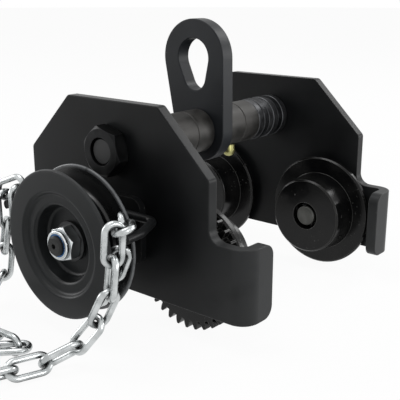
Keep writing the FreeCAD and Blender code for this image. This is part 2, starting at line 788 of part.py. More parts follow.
def hand_wheel_set():
    """The hand wheel: two pressed discs, the pocket drum between them, and the washer and lock nut."""
    back_rim = front_rim - hand_wheel_width + disc_thickness
    front_ring = front_rim - disc_ring_step
    back_ring = back_rim + disc_ring_step
    front = pressed_disc(front_rim, front_ring, hub_front)
    back = pressed_disc(back_rim, back_ring, hub_front - disc_thickness)
    play = 2 * press_clearance
    front_y = outside(FRONT, front_rim)
    back_y = outside(FRONT, back_rim)
    hub_hole = flatted_bar(drive_shaft_diameter + play, drive_shaft_flats + play, front_y, back_y)
    drum_front = outside(FRONT, front_ring - disc_thickness)
    drum_back = outside(FRONT, back_ring)
    corners = []
    corner = drum_flats / 2 / math.cos(math.pi / drum_sides)
    for i in range(drum_sides + 1):
        angle = 2 * math.pi * i / drum_sides
        corners.append(Vector(corner * math.cos(angle), drum_front, drive_z + corner * math.sin(angle)))
    drum = Part.Face(Part.makePolygon(corners)).extrude(Vector(0, drum_back - drum_front, 0))
    bore = disc_ring_inner_diameter / 2 + disc_thickness + face_clearance
    drum = drum.common(tube(drum_diameter / 2, bore, drum_front, drum_back, 0, drive_z))
    seat = outside(FRONT, nut_seat)
    hex_end = outside(FRONT, nut_seat + lock_nut_hex_height)
    crown = outside(FRONT, nut_tip)
    thread = drive_shaft_thread_diameter / 2 + press_clearance
    collar_radius = lock_nut_collar_diameter / 2
    collar = rod(collar_radius, crown, hex_end, 0, drive_z)
    collar = collar.makeFillet(disc_lip_radius, circle_edges(collar, collar_radius, 0, drive_z, crown))
    nut = hexagon(lock_nut_flats, seat, hex_end, 0, drive_z, lock_nut_turn).fuse(collar).removeSplitter()
    insert_tip = crown + insert_recess
    insert_foot = insert_tip + insert_height
    nut = nut.cut(rod(thread, seat, crown, 0, drive_z))
    nut = nut.cut(rod(insert_diameter / 2 + press_clearance, crown, insert_foot, 0, drive_z))
    return {
        "hand_wheel_front_disc": front.cut(hub_hole),
        "hand_wheel_back_disc": back.cut(hub_hole),
        "pocket_drum": drum,
        "hub_washer": tube(hub_washer_diameter / 2, thread, outside(FRONT, hub_front), seat, 0, drive_z),
        "lock_nut": nut,
        "lock_nut_insert": tube(insert_diameter / 2, thread, insert_tip, insert_foot, 0, drive_z),
    }


def guide_set():
    """The chain guides: a bracket round the boss, and on each side a bent wire that carries the chain."""
    plate_face = outside(FRONT, plate_outer)
    bracket_front = plate_face - guide_bracket_thickness
    bracket_height = guide_bracket_top + guide_bracket_bottom
    bracket_corner = Vector(-guide_bracket_width / 2, bracket_front, drive_z - guide_bracket_bottom)
    bracket = Part.makeBox(guide_bracket_width, guide_bracket_thickness, bracket_height, bracket_corner)
    upright = [edge for edge in bracket.Edges if edge.BoundBox.YLength > guide_bracket_thickness / 2]
    bracket = bracket.makeFillet(guide_bend_radius, upright)
    bracket = bracket.cut(rod(boss_diameter / 2 + press_clearance, bracket_front, plate_face, 0, drive_z))
    pieces = {"guide_bracket": bracket}
    wire = guide_wire_diameter / 2
    height = drive_z + guide_rise
    wire_y = bracket_front - wire
    rim_y = outside(FRONT, front_rim)
    rim_x = hand_wheel_diameter / 2
    for name, end in wheel_ends.items():
        points = [
            Vector(end * (boss_diameter / 2 - wire), wire_y, height),
            Vector(end * (rim_x - guide_elbow_inset), wire_y, height),
            Vector(end * (rim_x + guide_knee_clearance), rim_y + guide_knee_back, height),
            Vector(end * (rim_x + guide_end_clearance), rim_y + guide_end_back, height),
        ]
        pieces["guide_loop_" + name] = bent_wire(points, wire, guide_bend_radius)
    return pieces


def bent_wire(points, radius, bend):
    """A round wire along straight runs that are joined by tangent arcs of one radius."""
    edges = []
    start = points[0]
    for i in range(1, len(points) - 1):
        back = points[i - 1] - points[i]
        ahead = points[i + 1] - points[i]
        back.normalize()
        ahead.normalize()
        half = back.getAngle(ahead) / 2
        middle = back + ahead
        middle.normalize()
        reach = min(bend / math.tan(half), (points[i + 1] - points[i]).Length * guide_bend_share)
        arc_radius = reach * math.tan(half)
        first = points[i] + back * reach
        last = points[i] + ahead * reach
        crown = points[i] + middle * (arc_radius / math.sin(half) - arc_radius)
        edges.append(Part.makeLine(start, first))
        edges.append(Part.Arc(first, crown, last).toShape())
        start = last
    edges.append(Part.makeLine(start, points[-1]))
    path = Part.Wire(edges)
    section = Part.Wire(Part.makeCircle(radius, points[0], points[1] - points[0]))
    return path.makePipeShell([section], True, False)


# Chain sizes worked out: the bend of a link's ends, how far a link reaches to a corner that lies in its own
# plane or across it, and the heights at which slanting and upright links lie on the floor
link_bend = (chain_inner_width + chain_wire) / 2
link_half = (chain_pitch + chain_wire) / 2 - link_bend
link_near = link_half
link_far = chain_pitch - link_near
slant_height = chain_floor_clearance + link_bend * math.sqrt(0.5) + chain_wire / 2
upright_height = chain_floor_clearance + link_bend + chain_wire / 2
ALONG_X = Vector(1, 0, 0)
ALONG_Z = Vector(0, 0, 1)


def chain_spot(x, y, z):
    """A point of the chain's route, given from the middle plane between the plates."""
    return Vector(x, y + mid_y, z)


def unit(x, y, z):
    """A direction."""
    way = Vector(x, y, z)
    way.normalize()
    return way


# The ways that the flat sides of the hanging runs' free end links face
RIGHT_RUN_FACE = unit(0.389, 0.921, 0)
LEFT_RUN_FACE = unit(0.42, 0.9, 0)


def set_link(centre, along, normal):
    """One link's place: its middle, the way it runs, and the way its flat side faces, square to the run."""
    across = normal.cross(along)
    across.normalize()
    return centre, along, along.cross(across)


def right_fold():
    """The last link out of the groove, the one that lies over the right guide, and the one that hangs."""
    rise = chain_spot(50.4, -142.0, drive_z + 15.3)
    over = chain_spot(60.1, -149.35, drive_z + 24.2)
    hang = chain_spot(63.0, -160.65, drive_z + 16.85)
    lie = unit(0.734, -0.667, 0.129)
    tilt = unit(0.607, 0.729, 0.317)
    return [
        set_link(rise, ALONG_Z, unit(0.668, 0.744, 0)),
        set_link(over, lie, tilt.cross(lie)),
        set_link(hang, unit(-0.06, -0.05, -1), unit(0.873, -0.488, 0)),
    ]


def left_fold():
    """The link that hangs at the left guide, the one that leans over it, and the one into the groove."""
    lean = unit(-0.92, -0.12, -0.37)
    over = chain_spot(-60.2, -143.7, drive_z + 28.0)
    reach = link_near - chain_slack / 2
    drop = Vector(0, 0, chain_slack / 2 - link_far)
    hang = over + lean * reach + drop
    rise = over - lean * reach + drop
    return [
        set_link(hang, ALONG_Z, ALONG_X),
        set_link(over, lean * -1, ALONG_Y),
        set_link(rise, ALONG_Z * -1, ALONG_X),
    ]


def floor_fold():
    """Two links on the floor where the chain doubles back: one flat, one upright across its side."""
    here = unit(0.68, 0.73, 0)
    back = unit(-1, -0.07, 0)
    corner = chain_spot(7.5, -193.5, upright_height)
    flat = corner - here * link_near
    upright = corner + back * (link_far - chain_slack)
    return [set_link(flat, here, ALONG_Z), set_link(upright, back, back.cross(ALONG_Z))]


def wheel_route(start, end):
    """The chain's way from the left, under the hand wheel in its groove, up to the right."""
    points = [start]
    for degrees in range(*chain_groove_angles):
        angle = math.radians(degrees)
        x = chain_wheel_radius * math.cos(angle)
        points.append(chain_spot(x, -wheel_middle, drive_z + chain_wheel_radius * math.sin(angle)))
    return points + [end]


def coil_route():
    """Two flat layers of turns: inwards on the floor, a climb where it reverses, then outwards on top."""
    points = []
    steps = coil_steps_per_turn * coil_turns
    sweep = 360.0 * coil_turns - (coil_end_angle - coil_start_angle)
    for i in range(steps + 1):
        share = i / steps
        radius = coil_inner_radius + (coil_outer_radius - coil_inner_radius) * abs(2 * share - 1)
        climb = min(1.0, max(0.0, (share - 0.5) * 2 * coil_turns + 0.5))
        angle = math.radians(coil_start_angle - sweep * share)
        x = coil_centre[0] + radius * math.cos(angle)
        y = coil_centre[1] + radius * math.sin(angle)
        points.append(chain_spot(x, y, slant_height + coil_layer_rise * climb))
    return points


def right_route():
    """The chain's way from the right guide down to the floor, round the coil and off its top layer."""
    low = slant_height
    top = low + coil_layer_rise
    hanging = [(61.0, -163.1, 49.8), (55.5, -165.5, 36.0), (48.0, -170.5, 22.0), (41.0, -178.0, 12.0)]
    floor = [(35.5, -188.5, low + 0.6), (31.0, -200.5, low), (25.0, -217.0, low)]
    floor += [(17.0, -239.0, low), (4.0, -265.0, low)]
    leaving = [(-68.0, -209.5, top), (-46.0, -213.5, low + 9.0), (-26.0, -216.5, upright_height)]
    before = [chain_spot(*point) for point in hanging + floor]
    return before + coil_route() + [chain_spot(*point) for point in leaving]


def left_route():
    """The chain's way over the floor and up to the left guide."""
    low = upright_height
    points = [(-34.0, -194.0, low), (-48.0, -186.0, low), (-62.0, -174.0, low), (-70.0, -160.0, low + 4.0)]
    points += [(-72.0, -150.5, 20.0), (-72.0, -146.5, 34.0), (-71.0, -145.2, 48.0)]
    return [chain_spot(*point) for point in points]


def smooth(points):
    """Close-set points along a curve through the given ones."""
    curve = Part.BSplineCurve()
    curve.interpolate(points)
    return curve.discretize(Number=chain_line_points * len(points))


def paced(line, steps):
    """Corners along a line, each a straight step from the last, or None where the line is too short."""
    spots = [line[0]]
    i = 1
    for step in steps:
        while i < len(line) and (line[i] - spots[-1]).Length < step:
            i += 1
        if i == len(line):
            return None
        before = line[i - 1]
        ahead = line[i] - before
        gap = before - spots[-1]
        a = ahead.dot(ahead)
        b = gap.dot(ahead)
        c = gap.dot(gap) - step * step
        spots.append(before + ahead * ((-b + math.sqrt(max(0.0, b * b - a * c))) / a))
    return spots


def fitted(line, steps):
    """The largest share of the steps at which their corners still end on the line."""
    short = 0.5
    long = 1.5
    for _ in range(chain_fit_halvings):
        share = (short + long) / 2
        if paced(line, [step * share for step in steps]) is None:
            long = share
        else:
            short = share
    return short


def twist(normal, wanted, way):
    """The angle about a link's way from one normal to another."""
    return math.atan2(normal.cross(wanted).dot(way), normal.dot(wanted))


def groove_lengths():
    """Lengths of the links in the groove: short upright and long flat ones, more alike as it rolls over."""
    lengths = []
    for i in range(chain_groove_links):
        reach = link_near if i % 2 == 0 else link_far
        lengths.append(2 * reach + (chain_pitch - 2 * reach) * i / (chain_groove_links - 1))
    return lengths


def free_lengths(line):
    """Equal lengths for the fewest links that leave a run of chain its slack."""
    lengths = [chain_pitch]
    while fitted(line, lengths) > 1 - chain_slack / chain_pitch:
        lengths.append(chain_pitch)
    return lengths


def run_of_links(line, lengths, first_normal, last_normal, slanting):
    """Links of the given lengths along a line; their rolls ease between the wanted normals."""
    share = fitted(line, lengths)
    spots = paced(line, [length * share for length in lengths])[:-1] + [line[-1]]
    count = len(lengths)
    ways = [unit(*(spots[i + 1] - spots[i])) for i in range(count)]
    normals = [set_link(spots[0], ways[0], first_normal)[2]]
    for i in range(1, count):
        normals.append(FreeCAD.Rotation(ways[i - 1], ways[i]).multVec(normals[-1]))
    anchors = [(0, 0.0)]
    lying = slant_height + chain_lie_tolerance
    flat = [i for i in range(count) if max(spots[i].z, spots[i + 1].z) < lying]
    if slanting:
        for i in (flat[0], flat[-1]):
            side = ALONG_Z.cross(ways[i])
            turn = twist(normals[i], side + ALONG_Z, ways[i])
            anchors.append((i, nearest_turn(turn, anchors[-1][1], math.pi / 2)))
    turn = twist(normals[-1], last_normal, ways[-1]) - math.pi / 2 * ((count - 1) % 2)
    anchors.append((count - 1, nearest_turn(turn, anchors[-1][1], math.pi)))
    links = []
    for i in range(count):
        after = next(k for k in range(1, len(anchors)) if i <= anchors[k][0])
        left, low = anchors[after - 1]
        right, high = anchors[after]
        roll = low + (high - low) * (i - left) / (right - left) + math.pi / 2 * (i % 2)
        normal = FreeCAD.Rotation(ways[i], math.degrees(roll)).multVec(normals[i])
        links.append(set_link((spots[i] + spots[i + 1]) / 2, ways[i], normal))
    turns = [round(math.degrees(turn)) for _, turn in anchors]
    print("chain run", count, "links, share", round(share, 4), "twists", turns)
    return links


def nearest_turn(turn, before, period):
    """The same turn, up to whole periods, that lies nearest the one before."""
    return turn - period * round((turn - before) / period)


def chain_link():
    """One welded link, long along X and flat in X and Y, centred on the origin."""
    wire = chain_wire / 2
    link = None
    for end in (-1, 1):
        side = Part.makeCylinder(wire, 2 * link_half, Vector(-link_half, end * link_bend, 0), ALONG_X)
        crown = Part.makeTorus(link_bend, wire, Vector(0, 0, 0), ALONG_Z, -180, 180, 180)
        crown.rotate(Vector(0, 0, 0), ALONG_Z, -90 if end > 0 else 90)
        crown.translate(Vector(end * link_half, 0, 0))
        link = side.fuse(crown) if link is None else link.fuse([side, crown])
    return link.removeSplitter()


def placed(link, spot):
    """A copy of the link at one place of the chain."""
    centre, along, face = spot
    across = face.cross(along)
    frame = Matrix(along.x, across.x, face.x, centre.x, along.y, across.y, face.y, centre.y,
                   along.z, across.z, face.z, centre.z, 0, 0, 0, 1)
    copy = link.copy()
    copy.Placement = Placement(frame)
    return copy


def ahead(spot, reach):
    """The point a reach ahead of a link's middle, along its run."""
    return spot[0] + spot[1] * reach


def chain_set():
    """The hand chain: a closed loop up the left guide, round the wheel, over the right guide, the coil."""
    over_right = right_fold()
    over_left = left_fold()
    doubled = floor_fold()
    half = (chain_pitch - chain_slack) / 2
    entry = ahead(over_left[2], link_far - chain_slack / 2)
    leave = ahead(over_right[0], -half)
    last_in_groove = over_right[0][1].cross(over_right[0][2])
    line = smooth(wheel_route(entry, leave))
    in_groove = run_of_links(line, groove_lengths(), ALONG_Y, last_in_groove, False)
    start = ahead(over_right[2], half)
    end = ahead(doubled[0], -half)
    line = smooth([start] + right_route() + [end])
    before_fold = doubled[0][1].cross(ALONG_Z)
    to_coil = run_of_links(line, free_lengths(line), RIGHT_RUN_FACE, before_fold, True)
    start = ahead(doubled[1], half)
    end = ahead(over_left[0], -half)
    line = smooth([start] + left_route() + [end])
    to_left = run_of_links(line, free_lengths(line), ALONG_Z, LEFT_RUN_FACE, False)
    coil_end = len(to_coil) - chain_return_links
    coil_middle = (chain_right_links + coil_end) // 2
    spots = {
        "chain_on_wheel": over_left[2:] + in_groove + over_right[:1],
        "chain_right_run": over_right[1:] + to_coil[:chain_right_links],
        "chain_coil_first_half": to_coil[chain_right_links:coil_middle],
        "chain_coil_second_half": to_coil[coil_middle:coil_end],
        "chain_left_run": to_coil[coil_end:] + doubled + to_left + over_left[:2],
    }
    link = chain_link()
    total = sum(len(places) for places in spots.values())
    print("chain loop", total, "links,", round(total * chain_pitch), "mm")
    pieces = {}
    for name, places in spots.items():
        pieces[name] = Part.makeCompound([placed(link, spot) for spot in places])
    return pieces


def trolley():
    """Every piece of the trolley by its name."""
    pieces = {
        "drive_side_plate": side_plate(FRONT),
        "plain_side_plate": side_plate(REAR),
        "load_plate": load_plate(),
        "lock_screw": lock_screw(),
    }
    pieces.update(cross_shaft_set())
    pieces.update(wheel_set(FRONT, "geared", gear_gap))
    pieces.update(wheel_set(REAR, "plain", plain_gap))
    pieces.update(drive_set())
    pieces.update(hand_wheel_set())
    pieces.update(guide_set())
    pieces.update(chain_set())
    return pieces


os.makedirs("parts", exist_ok=True)
for piece_name, piece in trolley().items():
    for solid in piece.Solids:
        if not solid.isValid() or solid.Volume <= 0:
            print("check", piece_name, solid.isValid(), round(solid.Volume, 3))
    piece.exportStep("parts/" + piece_name + ".step")
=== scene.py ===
# %% [markdown]
# # A geared beam trolley and its finishes
# The trolley stands upside down on its wheel rims, as it is packed and shown in a shop. Every
# rigid piece comes from the CAD frame, so this lesson adds what CAD can't say: the coat on the
# plates, the turning marks on the wheels, the zinc on the chain, and the light that shows them.
# The frame is loaded first, because every later step asks it where things are.

# %% Load the frame
import bpy
import json
import numpy as np
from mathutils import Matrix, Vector


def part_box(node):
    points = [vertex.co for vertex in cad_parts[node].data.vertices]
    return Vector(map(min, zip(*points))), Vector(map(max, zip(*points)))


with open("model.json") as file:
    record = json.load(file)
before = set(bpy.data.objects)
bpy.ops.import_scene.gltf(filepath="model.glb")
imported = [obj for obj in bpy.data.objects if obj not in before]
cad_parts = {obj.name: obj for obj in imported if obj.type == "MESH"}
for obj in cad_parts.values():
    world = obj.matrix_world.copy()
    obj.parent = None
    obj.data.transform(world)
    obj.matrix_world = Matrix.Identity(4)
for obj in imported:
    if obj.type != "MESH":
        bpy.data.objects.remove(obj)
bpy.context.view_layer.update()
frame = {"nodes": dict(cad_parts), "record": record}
print("pieces in the frame:", len(frame["nodes"]))

# %% [markdown]
# ## The camera
# A camera is fixed by where it stands, where it looks and how long its lens is. The picture was
# taken from the front right, a little above the trolley, close enough for the near hand wheel
# to look larger than it is. A short distance with a 67 mm lens gives the same perspective. The
# view direction is written as one vector that points back at the photographer, and Blender turns
# it into a rotation that keeps the picture upright.

# %% Stand the camera
CAMERA_PLACE = (0.37535, -0.4344, 0.2321)
TOWARDS_CAMERA = (0.6173, -0.7366, 0.2762)
LENS_MM = 67.2156
SENSOR_MM = 36.0
NEAREST_SEEN = 0.01

camera = bpy.data.objects.new("camera", bpy.data.cameras.new("camera"))
camera.location = CAMERA_PLACE
camera.rotation_euler = Vector(TOWARDS_CAMERA).to_track_quat("Z", "Y").to_euler()
camera.data.lens = LENS_MM
camera.data.sensor_width = SENSOR_MM
camera.data.clip_start = NEAREST_SEEN
bpy.context.scene.collection.objects.link(camera)
bpy.context.scene.camera = camera
print("camera", round(Vector(CAMERA_PLACE).length, 3), "m from the floor under the trolley's middle")

# %% [markdown]
# ## Sockets as numbers
# A shader is a graph of nodes, and its sums are hard to read as a list of links. This class
# wraps one socket, so that a sum of two wires in Python adds the Math node that does it. The
# reflected forms let a plain number stand on the left, as in 1 - mask. Every other node comes
# from the one method at the end, which sets a node's choices before it joins its sockets.


# %% Wrap a socket
class Wire:
    """One output socket. Operators add Math nodes; node() adds any other node to the same tree."""

    def __init__(self, tree, socket):
        self.tree = tree
        self.socket = socket

    def maths(self, operation, one, two):
        return self.node("ShaderNodeMath", {"operation": operation}, {0: one, 1: two})

    def __add__(self, other):
        return self.maths("ADD", self, other)

    def __radd__(self, other):
        return self.maths("ADD", other, self)

    def __sub__(self, other):
        return self.maths("SUBTRACT", self, other)

    def __rsub__(self, other):
        return self.maths("SUBTRACT", other, self)

    def __mul__(self, other):
        return self.maths("MULTIPLY", self, other)

    def __truediv__(self, other):
        return self.maths("DIVIDE", self, other)

    def node(self, kind, settings, sockets, output=0):
        """Adds a node of a kind, sets its choices, then gives its sockets their values or links."""
        made = self.tree.nodes.new(kind)
        for name, value in settings.items():
            setattr(made, name, value)
        for name, value in sockets.items():
            if isinstance(value, Wire):
                self.tree.links.new(value.socket, made.inputs[name])
            else:
                made.inputs[name].default_value = value
        return Wire(self.tree, made.outputs[output]) if made.outputs else None


print("operators on a wire: + - * /")

# %% [markdown]
# ## Patterns that many finishes share
# Most finishes need the same few things: cloudy noise, a step that turns noise into spots, a
# blend of two colours, and a mask that finds the edges of a piece. The edge mask compares the
# true surface with one whose edges are rounded: where the two directions part, there is an edge.
# It works on any CAD piece, because it asks the surface and not the mesh. Noise stays mostly
# between 0.2 and 0.8, so a ramp that ends low covers most of a surface and one that starts high
# leaves a few spots. Every grain, width, pitch and depth is in metres, as in the frame. A Mix
# node has sockets for many kinds of value, so its two colours and its result go by number.

# %% Shared patterns
COLOUR_A = 6
COLOUR_B = 7
COLOUR_RESULT = 2
EDGE_SAMPLES = 6
HALF_COVERED = (0.3, 0.7)
MOSTLY_COVERED = (0.1, 0.5)


def start_finish(name):
    """A new material with an empty tree, and a wire that carries Object coordinates in metres."""
    material = bpy.data.materials.new(name)
    material.use_nodes = True
    tree = material.node_tree
    tree.nodes.clear()
    coordinates = tree.nodes.new("ShaderNodeTexCoord")
    return material, Wire(tree, coordinates.outputs["Object"])


def cloud(place, grain, detail=2.0):
    """Smooth noise from 0 to 1 whose blotches are about grain metres across."""
    sockets = {"Vector": place, "Scale": 1 / grain, "Detail": detail}
    return place.node("ShaderNodeTexNoise", {}, sockets)


def ramp(value, low, high):
    """0 below low, 1 above high, and a smooth rise between them."""
    settings = {"interpolation_type": "SMOOTHSTEP"}
    sockets = {"Value": value, "From Min": low, "From Max": high}
    return value.node("ShaderNodeMapRange", settings, sockets)


def blend(mask, one, two):
    """The first colour where the mask is 0, the second where it is 1."""
    sockets = {0: mask, COLOUR_A: one, COLOUR_B: two}
    return mask.node("ShaderNodeMix", {"data_type": "RGBA"}, sockets, COLOUR_RESULT)


def tone(red, green, blue):
    """A colour with the opacity that a socket wants."""
    return (red, green, blue, 1.0)


def rounded(place, radius):
    """The surface's direction with its edges rounded to a radius in metres."""
    return place.node("ShaderNodeBevel", {"samples": EDGE_SAMPLES}, {"Radius": radius})


def edges(place, radius, gain):
    """1 along edges and 0 on open faces: one minus the cosine between the rounded and true directions."""
    true = place.node("ShaderNodeNewGeometry", {}, {}, "Normal")
    sockets = {0: rounded(place, radius), 1: true}
    cosine = place.node("ShaderNodeVectorMath", {"operation": "DOT_PRODUCT"}, sockets, "Value")
    return ramp((1 - cosine) * gain, 0.0, 1.0)


def bumped(place, height, strength, depth, normal):
    """A direction disturbed by a height map of a given depth in metres."""
    sockets = {"Strength": strength, "Distance": depth, "Height": height, "Normal": normal}
    return place.node("ShaderNodeBump", {}, sockets)


def seal(material, place, sockets):
    """Ends a finish with one Principled shader that takes the given colours, values and wires."""
    shader = place.node("ShaderNodeBsdfPrincipled", {}, sockets)
    place.node("ShaderNodeOutputMaterial", {}, {"Surface": shader})
    return material


print("shared patterns ready")

# %% [markdown]
# ## Black coat on the plates
# The side plates, the load plate and the small brackets are cut from plate steel and sprayed with
# a satin black powder, which melts into a skin with a faint orange peel. Handling rubs the edges
# grey and knocks small chips out of them, and the grey of the edges is also a painted highlight.
# The bent ends that meet a beam's stops turn duller and greyer, and that grey also paints the light
# that the bent tabs catch. A bump map does for the peel, which is far too shallow for geometry.
# The edge mask says where the rubbing and the painted highlight go, and the distance from the
# middle of the trolley says where the plates go grey.

# %% Black coat
# Grey for rubbed edges, which also stands as a painted highlight on them.
RUBBED_AND_HIGHLIGHT_GREY = tone(0.06, 0.061, 0.06)
RUB_AND_HIGHLIGHT_WIDTH = 0.0009
RUB_AND_HIGHLIGHT_GAIN = 7.0
RUB_AND_HIGHLIGHT_GRAIN = 0.02
RUB_AND_HIGHLIGHT_COVER = (0.2, 0.6)
RUB_AND_HIGHLIGHT_ROUGHNESS = 0.15
CHIP_GREY = tone(0.2, 0.2, 0.19)
CHIP_WIDTH = 0.002
CHIP_GAIN = 9.0
CHIP_GRAIN = 0.0014
CHIP_SPOTS = (0.73, 0.77)
# Grey for the dull far ends, which also paints the light that the bent tabs catch.
END_GREY = tone(0.024, 0.0252, 0.0258)
END_GREY_START = 0.06
END_GREY_END = 0.125
END_GREY_GRAIN = 0.03
PEEL_GRAIN = 0.0016
PEEL_STRENGTH = 0.12
PEEL_DEPTH = 0.0002
COAT_HAZE_GRAIN = 0.05
COAT_HAZE_ROUGHNESS = 0.1
COAT_ROUNDING = 0.0006


def satin_coat(name, dark, light, roughness, shine, rub_and_highlight):
    """Coat on plate steel: orange peel, cloudy sheen, grey far ends and edges partly painted light, a few
    chips.
    """
    material, place = start_finish(name)
    peel = cloud(place, PEEL_GRAIN)
    haze = ramp(cloud(place, COAT_HAZE_GRAIN, detail=3.0), *HALF_COVERED)
    # Edges turn grey: partly rubbed paint, partly a painted highlight.
    paler_edges = edges(place, RUB_AND_HIGHLIGHT_WIDTH, RUB_AND_HIGHLIGHT_GAIN) * ramp(cloud(place, RUB_AND_HIGHLIGHT_GRAIN), *RUB_AND_HIGHLIGHT_COVER) * rub_and_highlight
    chips = edges(place, CHIP_WIDTH, CHIP_GAIN) * ramp(cloud(place, CHIP_GRAIN, detail=1.0), *CHIP_SPOTS)
    sideways = place.node("ShaderNodeSeparateXYZ", {}, {0: place}, "X")
    reach = place.node("ShaderNodeMath", {"operation": "ABSOLUTE"}, {0: sideways})
    end_grey_patches = ramp(cloud(place, END_GREY_GRAIN, detail=3.0), *MOSTLY_COVERED)
    # The far ends turn grey: partly dulled paint, partly painted light on the bent tabs.
    dull_and_lit_ends = ramp(reach, END_GREY_START, END_GREY_END) * end_grey_patches
    colour = blend(haze, dark, light)
    colour = blend(dull_and_lit_ends, colour, END_GREY)
    colour = blend(paler_edges, colour, RUBBED_AND_HIGHLIGHT_GREY)
    colour = blend(chips, colour, CHIP_GREY)
    return seal(material, place, {
        "Base Color": colour,
        "Roughness": roughness + haze * COAT_HAZE_ROUGHNESS + paler_edges * RUB_AND_HIGHLIGHT_ROUGHNESS,
        "Specular IOR Level": shine,
        "Normal": bumped(place, peel, PEEL_STRENGTH, PEEL_DEPTH, rounded(place, COAT_ROUNDING)),
    })


plate_coat = satin_coat(
    "plate_coat", tone(0.0028, 0.0031, 0.0034), tone(0.006, 0.0065, 0.007),
    roughness=0.33, shine=0.15, rub_and_highlight=0.8)
load_coat = satin_coat(
    "load_coat", tone(0.0092, 0.0104, 0.0124), tone(0.0156, 0.0174, 0.02),
    roughness=0.38, shine=0.2, rub_and_highlight=0.6)
wire_coat = satin_coat(
    "wire_coat", tone(0.006, 0.0064, 0.0068), tone(0.011, 0.0115, 0.012),
    roughness=0.3, shine=0.2, rub_and_highlight=0.5)
bracket_coat = satin_coat(
    "bracket_coat", tone(0.0025, 0.0027, 0.003), tone(0.005, 0.0053, 0.0056),
    roughness=0.42, shine=0.1, rub_and_highlight=0.2)
print("coats:", plate_coat.name, load_coat.name, wire_coat.name, bracket_coat.name)

# %% [markdown]
# ## Marks that run round an axle
# Wheels, sleeves, axles and shafts are turned on a lathe, and the tool leaves rings round the
# axle. Noise that depends on one number only, the distance from the axle plus the distance along
# it, makes rings on a face and rings round a cylinder alike. Each piece gives its own axle, as
# the middle of its box.

# %% Rings from the lathe
ACROSS = (1.0, 0.0, 1.0)


def middle(node):
    """The middle of a CAD node's box, in metres."""
    low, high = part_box(node)
    return tuple((low + high) / 2)


def from_centre(place, centre):
    """The way from a centre to the point on the surface, in metres."""
    return place.node("ShaderNodeVectorMath", {"operation": "SUBTRACT"}, {0: place, 1: centre})


def axle_distance(offset):
    """The distance from an axle along Y through the centre that the offset starts from, in metres."""
    flat = offset.node("ShaderNodeVectorMath", {"operation": "MULTIPLY"}, {0: offset, 1: ACROSS})
    return offset.node("ShaderNodeVectorMath", {"operation": "LENGTH"}, {0: flat}, "Value")


def lathe_rings(place, centre, pitch):
    """Noise on radius plus length over pitch, so that it only changes across the turning marks."""
    offset = from_centre(place, centre)
    along = place.node("ShaderNodeSeparateXYZ", {}, {0: offset}, "Y")
    sockets = {"W": (axle_distance(offset) + along) / pitch, "Scale": 1.0, "Detail": 3.0}
    return place.node("ShaderNodeTexNoise", {"noise_dimensions": "1D"}, sockets)


print("axle of the right plain wheel:", [round(v, 4) for v in middle("plain_wheel_right")])

# %% [markdown]
# ## Gloss black wheels
# The wheels are turned, then dipped in a gloss black that keeps a little of the turning under it.
# Small pale scuffs sit on the faces, and the corners show the metal; their pale grey is also a
# painted highlight along the edges. Each wheel has a finish of its own, because the rings have to
# centre on its own axle.

# %% Wheels
WHEEL_BLACK = tone(0.0022, 0.0023, 0.0025)
WHEEL_WORN = tone(0.007, 0.007, 0.0068)
WHEEL_RING_PITCH = 0.0007
WHEEL_RING_STRENGTH = 0.1
WHEEL_RING_DEPTH = 0.0001
WHEEL_HAZE_GRAIN = 0.018
WHEEL_HAZE_COVER = (0.35, 0.7)
WHEEL_HAZE_ROUGHNESS = 0.08
WHEEL_RUB_AND_HIGHLIGHT_WIDTH = 0.001
WHEEL_RUB_AND_HIGHLIGHT_GAIN = 8.0
WHEEL_RUB_AND_HIGHLIGHT_GRAIN = 0.01
WHEEL_RUB_AND_HIGHLIGHT_COVER = (0.2, 0.55)
WHEEL_RUB_AND_HIGHLIGHT_AMOUNT = 0.8
WHEEL_ROUNDING = 0.0007
WHEEL_ROUGHNESS = 0.16
WHEEL_SHINE = 0.22
# Pale grey of scuffs and rubbed corners; on the corners it is also a painted highlight.
SCUFF_AND_HIGHLIGHT_GREY = tone(0.09, 0.09, 0.085)
SCUFF_GRAIN = 0.0022
SCUFF_SPOTS = (0.7, 0.75)
SCUFF_AREA_GRAIN = 0.03
SCUFF_AREA_COVER = (0.45, 0.6)
SCUFF_AMOUNT = 0.6
SCUFF_ROUGHNESS = 0.3


def wheel_gloss(name, centre):
    """Dipped gloss black over turning rings, pale corners of rubbed metal and painted highlight, scuffed
    faces.
    """
    material, place = start_finish(name)
    rings = lathe_rings(place, centre, WHEEL_RING_PITCH)
    haze = ramp(cloud(place, WHEEL_HAZE_GRAIN, detail=3.0), *WHEEL_HAZE_COVER)
    # The pale corners are partly rubbed metal and partly a painted highlight along the edges.
    paler_edge_patches = ramp(cloud(place, WHEEL_RUB_AND_HIGHLIGHT_GRAIN), *WHEEL_RUB_AND_HIGHLIGHT_COVER)
    paler_edges = edges(place, WHEEL_RUB_AND_HIGHLIGHT_WIDTH, WHEEL_RUB_AND_HIGHLIGHT_GAIN) * paler_edge_patches
    scuff_area = ramp(cloud(place, SCUFF_AREA_GRAIN), *SCUFF_AREA_COVER)
    scuffs = ramp(cloud(place, SCUFF_GRAIN, detail=1.0), *SCUFF_SPOTS) * scuff_area
    colour = blend(haze, WHEEL_BLACK, WHEEL_WORN)
    colour = blend(paler_edges * WHEEL_RUB_AND_HIGHLIGHT_AMOUNT, colour, SCUFF_AND_HIGHLIGHT_GREY)
    colour = blend(scuffs * SCUFF_AMOUNT, colour, SCUFF_AND_HIGHLIGHT_GREY)
    edge = rounded(place, WHEEL_ROUNDING)
    return seal(material, place, {
        "Base Color": colour,
        "Roughness": WHEEL_ROUGHNESS + haze * WHEEL_HAZE_ROUGHNESS + scuffs * SCUFF_ROUGHNESS,
        "Specular IOR Level": WHEEL_SHINE,
        "Normal": bumped(place, rings, WHEEL_RING_STRENGTH, WHEEL_RING_DEPTH, edge),
    })


